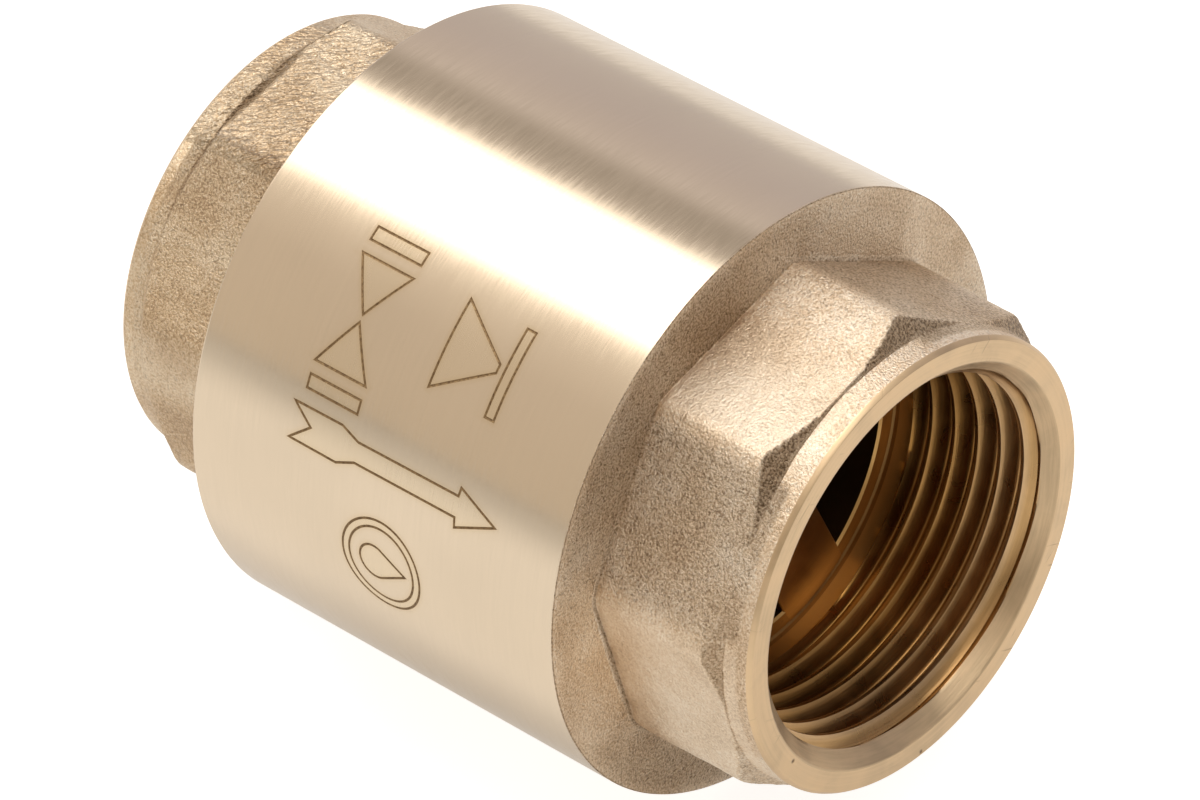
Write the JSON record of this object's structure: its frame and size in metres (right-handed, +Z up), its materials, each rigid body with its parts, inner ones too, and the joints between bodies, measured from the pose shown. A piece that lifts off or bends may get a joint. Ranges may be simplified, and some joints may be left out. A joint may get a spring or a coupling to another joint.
{
  "type": "check valve",
  "caption": "In-line spring check valve: turned brass cylinder with an octagonal hub and female pipe thread at each end, and a sprung poppet that opens towards the outlet.",
  "frame": {"origin": "on the flow axis, at the middle of the valve's length", "axes": "+X along the flow, from the inlet to the outlet; +Z up, as the valve lies with its axis level"},
  "size_m": [0.0518, 0.04, 0.04],
  "materials": {
    "cast_brass": "satin turned cylinder, fine-sand-cast hub",
    "end_brass": "fine-sand-cast hub, turned joint and seat",
    "o_ring_rubber": "moulded nitrile rubber",
    "acetal": "natural acetal",
    "spring_steel": "drawn stainless wire",
    "washer_steel": "stamped stainless",
    "turned_brass": "turned, bright",
    "disc_brass": "turned, satin",
    "nitrile": "moulded nitrile rubber",
    "plate_brass": "stamped and turned",
    "nut_steel": "stainless, plain"
  },
  "bodies": {
    "valve_body": {"outlet_body": "cast_brass", "inlet_end_piece": "end_brass", "body_joint_o_ring": "o_ring_rubber", "guide_bush": "acetal", "closing_spring": "spring_steel"},
    "spring_follower": {"spring_washer": "washer_steel"},
    "poppet": {"poppet_stem": "turned_brass", "poppet_disc": "disc_brass", "seat_seal": "nitrile", "seal_retainer_plate": "plate_brass", "stem_nut": "nut_steel"}
  },
  "joints": [
    {"name": "poppet_lift", "type": "slide", "parent": "valve_body", "child": "spring_follower", "axis": [1, 0, 0], "range_m": [0, 0.0055], "stiffness_N_per_m": 180, "springref_m": -0.006, "deforming": ["closing_spring"]},
    {"name": "poppet_spin", "type": "hinge", "parent": "spring_follower", "child": "poppet", "pos_m": [0, 0, 0], "axis": [1, 0, 0], "continuous": true}
  ]
}
